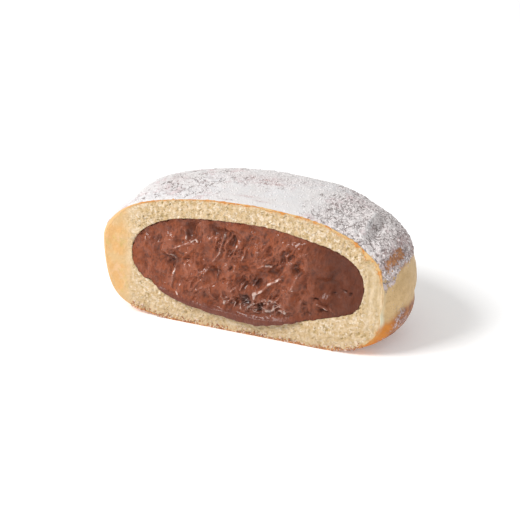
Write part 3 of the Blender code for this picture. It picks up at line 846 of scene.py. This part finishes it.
# how much of the lip there is at this angle, and how full it is
def lipStrength(angle, x):
    wobble = 0.16 * lumps(Vector((x, 0, 0)), 2.3, (1, 1, 1))
    start = ease(angle, tear["lipStart"] - tear["lipFade"], tear["lipStart"] + 4)
    end = 1 - ease(angle, tear["lipEnd"] - 2, tear["lipEnd"] + tear["lipFade"])
    share = min(max((angle - tear["lipStart"]) / (tear["lipEnd"] - tear["lipStart"]), 0), 1)
    taper = 0.30 + 0.70 * math.sin(math.pi * share ** 1.8)      # it hangs lowest past its middle
    return start * end, taper * (1 + wobble)


creamAngles = evenAngles(lambda angle: creamPoint(slant(angle, math.pi / 2), 0), tear["columns"])
creamRing = [creamPoint(slant(angle, math.pi / 2), 0) + creamMiddle for angle in creamAngles]
creamWays = outwardWays(creamRing)


def placeCream(column, row):
    outline, way = creamRing[column], creamWays[column]
    height = creamAt(outline.x * 1000, outline.z * 1000)[0]
    angle = ovalAngle(outline.x, outline.z)
    lip, taper = lipStrength(angle, outline.x * 1000)
    radius = tear["edgeRadius"]
    up = math.sin(math.radians(angle))
    spill = 0.40 * (1 - ease(up, -0.1, 0.6)) + 0.06      # the cream closes onto the crumb, less so above
    spill += 0.42 * lumps(outline, 0.0019, (4, 1, 6)) + 0.36 * lumps(outline, 0.0008, (6, 4, 1))
    spill += 1000 * openingShift(outline)
    spill += (0.4 * lumps(outline, 0.0012, (8, 4, 1)) + 0.12) * bump(angle, -145, 20)
    centreOut = blend(lip, spill - radius, tear["lipDrop"] * taper)
    centreForward = blend(lip, height - radius, tear["lipForward"])
    sizeOut = blend(lip, radius, tear["lipOut"] * taper)
    sizeForward = blend(lip, radius, tear["lipDepth"] * taper)
    if row <= tear["faceRows"]:
        along = (row / tear["faceRows"]) ** 0.86
        edge = outline + way * (0.001 * centreOut)
        point = creamMiddle.lerp(edge, along)
        height, rim, dark, paintedLight = creamAt(point.x * 1000, point.z * 1000)
        height += tear["swell"] * rim * lip
        join = ease(along, 0.92, 1.0)
        height = blend(join, height, centreForward + sizeForward)
        point.y = cutY - 0.001 * height
        shade = ease(point.x * 1000, 12, 30)
        return point, (dark * (1 - join), lip * ease(along, 0.90, 1.0), shade, paintedLight * (1 - join))
    row -= tear["faceRows"]
    shade = ease(outline.x * 1000, 12, 30)
    if row <= tear["lipRows"]:
        turn = math.pi / 2 - row / tear["lipRows"] * blend(lip, math.pi / 2, math.pi * 0.94)
        smeared = Vector((outline.x * 0.35, 0, row / tear["lipRows"] * 0.0022))
        ripple = lip * (0.22 * lumps(smeared, 0.0009, (4, 4, 7)) + 0.16 * lumps(outline, 0.0014, (7, 1, 4)))
        frayed = ripple + lip * 0.30 * lumps(outline, 0.0010, (2, 7, 7)) * ease(outline.x * 1000, 8, 16)
        point = outline + way * (0.001 * (centreOut + (sizeOut + frayed) * math.cos(turn)))
        point.y = cutY - 0.001 * (centreForward + (sizeForward + ripple) * math.sin(turn))
        return point, (0.45 * (1 - lip), lip, shade, 0.5 * lip * ease(ripple, 0.0, 0.12))
    row -= tear["lipRows"]
    lean = math.pi / 2 * (1 - (row - 0.35) / (tear["backRows"] - 0.35))
    point = creamPoint(slant(creamAngles[column], max(lean, 0)), 0) + creamMiddle
    return point, (0.5, 0, shade, 0)


creamMarks = ["dark", "lip", "shade", "paintedLight"]
creamForm = rollGrid(
    tear["columns"], tear["faceRows"] + tear["lipRows"] + tear["backRows"], creamMarks, placeCream)

creamMaterial, tree, shader = newMaterial("chocolateCream")
coords = objectCoords(tree)
dark, lip, shade, paintedLight = [markOut(tree, name) for name in creamMarks]
colour = mottle(tree, (0.272, 0.069, 0.025), (0.200, 0.047, 0.017), 330.0, 0.38, 0.68)
drawnCoords = objectCoords(tree, (1.0, 1.0, 0.5))
grainy = noiseOut(tree, drawnCoords, 1300.0, 3.0, 0.6)
colour = mixOut(tree, rangeOut(tree, grainy, 0.50, 0.62, 0.0, 0.6), colour, (0.120, 0.030, 0.014, 1))
colour = mixOut(tree, timesOut(tree, shade, 0.82), colour, (0.085, 0.021, 0.009, 1))
# painted light: the crests and ridges made lighter
colour = mixOut(tree, timesOut(tree, paintedLight, 0.66), colour, (0.42, 0.160, 0.098, 1))
# painted highlights: short wet glints along the crests, put into the colour
broken = rangeOut(tree, noiseOut(tree, coords, 560.0, 3.0, 0.6), 0.49, 0.58)
glint = timesOut(tree, rangeOut(tree, paintedLight, 0.50, 0.85, 0.0, 0.85), broken)
colour = mixOut(tree, glint, colour, (0.80, 0.60, 0.52, 1))
# painted shade: pits, valleys and the sunk upper rim made dark
colour = mixOut(tree, timesOut(tree, dark, 0.84), colour, (0.050, 0.014, 0.008, 1))
colour = mixOut(tree, timesOut(tree, lip, 0.70), colour, (0.132, 0.046, 0.034, 1))
# it is wet in patches and on its crests, and dry on the lip and towards the right
wet = noiseOut(tree, coords, 420.0, 3.0, 0.6)
dry = mathOut(tree, "MAXIMUM", timesOut(tree, lip, 0.8), timesOut(tree, shade, 0.6))
gloss = mathOut(tree, "MAXIMUM", rangeOut(tree, wet, 0.40, 0.62, 0.42, 0.02), timesOut(tree, paintedLight, 0.8))
fillInputs(tree, shader, {
    "Base Color": colour,
    "Roughness": rangeOut(tree, wet, 0.35, 0.70, 0.34, 0.58),
    "Coat Weight": timesOut(tree, gloss, mathOut(tree, "SUBTRACT", 1.0, dry)),
    "Coat Roughness": 0.09,
    "Specular IOR Level": 0.20,
    "Normal": bumpOut(tree, noiseOut(tree, drawnCoords, 1200.0, 3.0, 0.6), 0.9, 0.0005),
})
finishPiece("creamFilling", creamForm, creamMaterial, "cream_filling")


# one piece of loose bits, a lump at each place
def strewBits(name, places, material, lumpy):
    bit = bmesh.new()
    bmesh.ops.create_icosphere(bit, subdivisions=1, radius=1)
    for vertex in bit.verts:
        vertex.co *= 1 + lumpy * noise.noise(vertex.co * 1.7)
    seedMesh = bpy.data.meshes.new(name + "Seed")
    bit.to_mesh(seedMesh)
    bit.free()
    pile = bmesh.new()
    for matrix in places:
        seedMesh.transform(matrix)
        pile.from_mesh(seedMesh)
        seedMesh.transform(matrix.inverted())
    bpy.data.meshes.remove(seedMesh)
    finishPiece(name, pile, material, "dough")


# a small turned and flattened lump that sits in a surface
def bitMatrix(point, facing, size):
    turn = facing.to_track_quat("Z", "Y").to_matrix().to_4x4()
    turn = turn @ Matrix.Rotation(dice.uniform(0, math.tau), 4, "Z")
    halves = [size * dice.uniform(low, high) for low, high in ((0.8, 1.3), (0.7, 1.0), (0.5, 0.8))]
    return Matrix.Translation(point) @ turn @ Matrix.Diagonal((*halves, 1))


def bitMaterial(name, first, second, roughness, grainScale=None):
    material, tree, shader = newMaterial(name)
    fillInputs(tree, shader, {"Base Color": mottle(tree, first, second, 900.0), "Roughness": roughness})
    if grainScale:
        grain = noiseOut(tree, objectCoords(tree), grainScale)
        fillInputs(tree, shader, {"Normal": bumpOut(tree, grain, 0.4, 0.0001)})
    return material


# sugar clumps on the crown, and crumbs along the lower edge of the cut
loose = {
    "sugarCount": 7200,
    "sugarSizes": (0.00012, 0.00036),
    "brownCount": 420,
    "paleCount": 220,
}
dice = random.Random(41)
sugarPlaces = []
while len(sugarPlaces) < loose["sugarCount"]:
    angle = dice.uniform(0.02, 3.12)
    tilt = math.sqrt(dice.uniform(0.003, 1.0)) * tiltAt(angle, cutY - middle.y + 0.0006)
    point, facing = skinPoint(slant(angle, tilt))
    point = point + middle
    cover, thick, rust, grain = sugarAt(point)[:4]
    want = 0.10 + 0.90 * grain
    if point.y > -0.006:
        want = max(want, 0.5)
    if cover < 0.35 or rust > 0.25 or point.z < 0.018 or dice.random() > want:
        continue
    size = blend(dice.random() ** 2.2, *loose["sugarSizes"])
    sugarPlaces.append(bitMatrix(point + facing * (0.001 * thick - 0.2 * size), facing, size))
sugarMaterial = bitMaterial("sugarClump", (0.86, 0.82, 0.81), (0.74, 0.69, 0.68), 0.95, 3800.0)
strewBits("sugarClumps", sugarPlaces, sugarMaterial, 0.35)


def edgeBits(count, low, high, sizes):
    places = []
    while len(places) < count:
        number = dice.randrange(crumb["columns"])
        outer, inner = crustRing[number], hollowRing[number]
        if outer.z > 0.0035 or not -0.034 < outer.x < 0.036:
            continue
        inward = (inner - outer).normalized()
        point = outer + inward * (0.001 * blend(dice.random() ** 1.6, low, high))
        height = crumbAt(point.x * 1000, point.z * 1000)[0]
        size = 0.001 * blend(dice.random() ** 1.5, *sizes)
        point.z = max(point.z, 1.3 * size)      # no crumb reaches into the table
        point.y = cutY - 0.001 * height * ease(low, 0, 0.35)
        places.append(bitMatrix(point, Vector((0, -1, 0)), size))
    return places


brownMaterial = bitMaterial("brownCrumb", (0.55, 0.25, 0.09), (0.33, 0.13, 0.07), 0.8, 3000.0)
strewBits("brownCrumbs", edgeBits(loose["brownCount"], -0.35, 1.3, (0.12, 0.36)), brownMaterial, 0.5)
paleMaterial = bitMaterial("paleCrumb", (0.76, 0.60, 0.54), (0.60, 0.42, 0.28), 0.9)
strewBits("paleCrumbs", edgeBits(loose["paleCount"], -0.30, 2.0, (0.12, 0.34)), paleMaterial, 0.5)


# floor, light and camera
studio = {
    "floorSize": 3.0,
    "floorColour": (0.98, 0.98, 0.98, 1),
    "floorGlow": 0.20,
    "worldStrength": 0.55,
    "keyPlace": (-0.55, -0.60, 0.80),
    "keyTarget": (0, 0, 0.02),
    "keySize": 0.42,
    "keyPower": 10.2,
    "cameraPlace": (0.13186, -0.31047, 0.16192),
    "cameraTarget": (0.000854, -0.007965, 0.01726),
    "lens": 89.40,
}

floorForm = bmesh.new()
bmesh.ops.create_grid(floorForm, x_segments=1, y_segments=1, size=studio["floorSize"])
floorMesh = bpy.data.meshes.new("floor")
floorForm.to_mesh(floorMesh)
floorForm.free()
floorMaterial, tree, shader = newMaterial("paleFloor")
fillInputs(tree, shader, {
    "Base Color": studio["floorColour"],
    "Roughness": 0.9,
    "Specular IOR Level": 0.1,
    "Emission Color": (1, 1, 1, 1),
    "Emission Strength": studio["floorGlow"],
})
floorMesh.materials.append(floorMaterial)
floor = addObject("floor", floorMesh)

world = bpy.data.worlds.new("softStudio")
world.use_nodes = True
background = world.node_tree.nodes["Background"]
fillInputs(world.node_tree, background, {"Color": (1, 1, 1, 1), "Strength": studio["worldStrength"]})
bpy.context.scene.world = world


def aim(item, place, target):
    item.location = place
    item.rotation_euler = (Vector(target) - Vector(place)).to_track_quat("-Z", "Y").to_euler()


keyLight = bpy.data.lights.new("keyLight", "AREA")
keyLight.size = studio["keySize"]
keyLight.energy = studio["keyPower"]
aim(addObject("keyLight", keyLight), studio["keyPlace"], studio["keyTarget"])

cameraData = bpy.data.cameras.new("camera")
cameraData.lens = studio["lens"]
cameraData.sensor_width = 36
cameraData.sensor_fit = "HORIZONTAL"
cameraData.clip_start = 0.01
camera = addObject("camera", cameraData)
aim(camera, studio["cameraPlace"], studio["cameraTarget"])
bpy.context.scene.camera = camera
bpy.context.scene.view_settings.view_transform = "Standard"
print("studio ready")
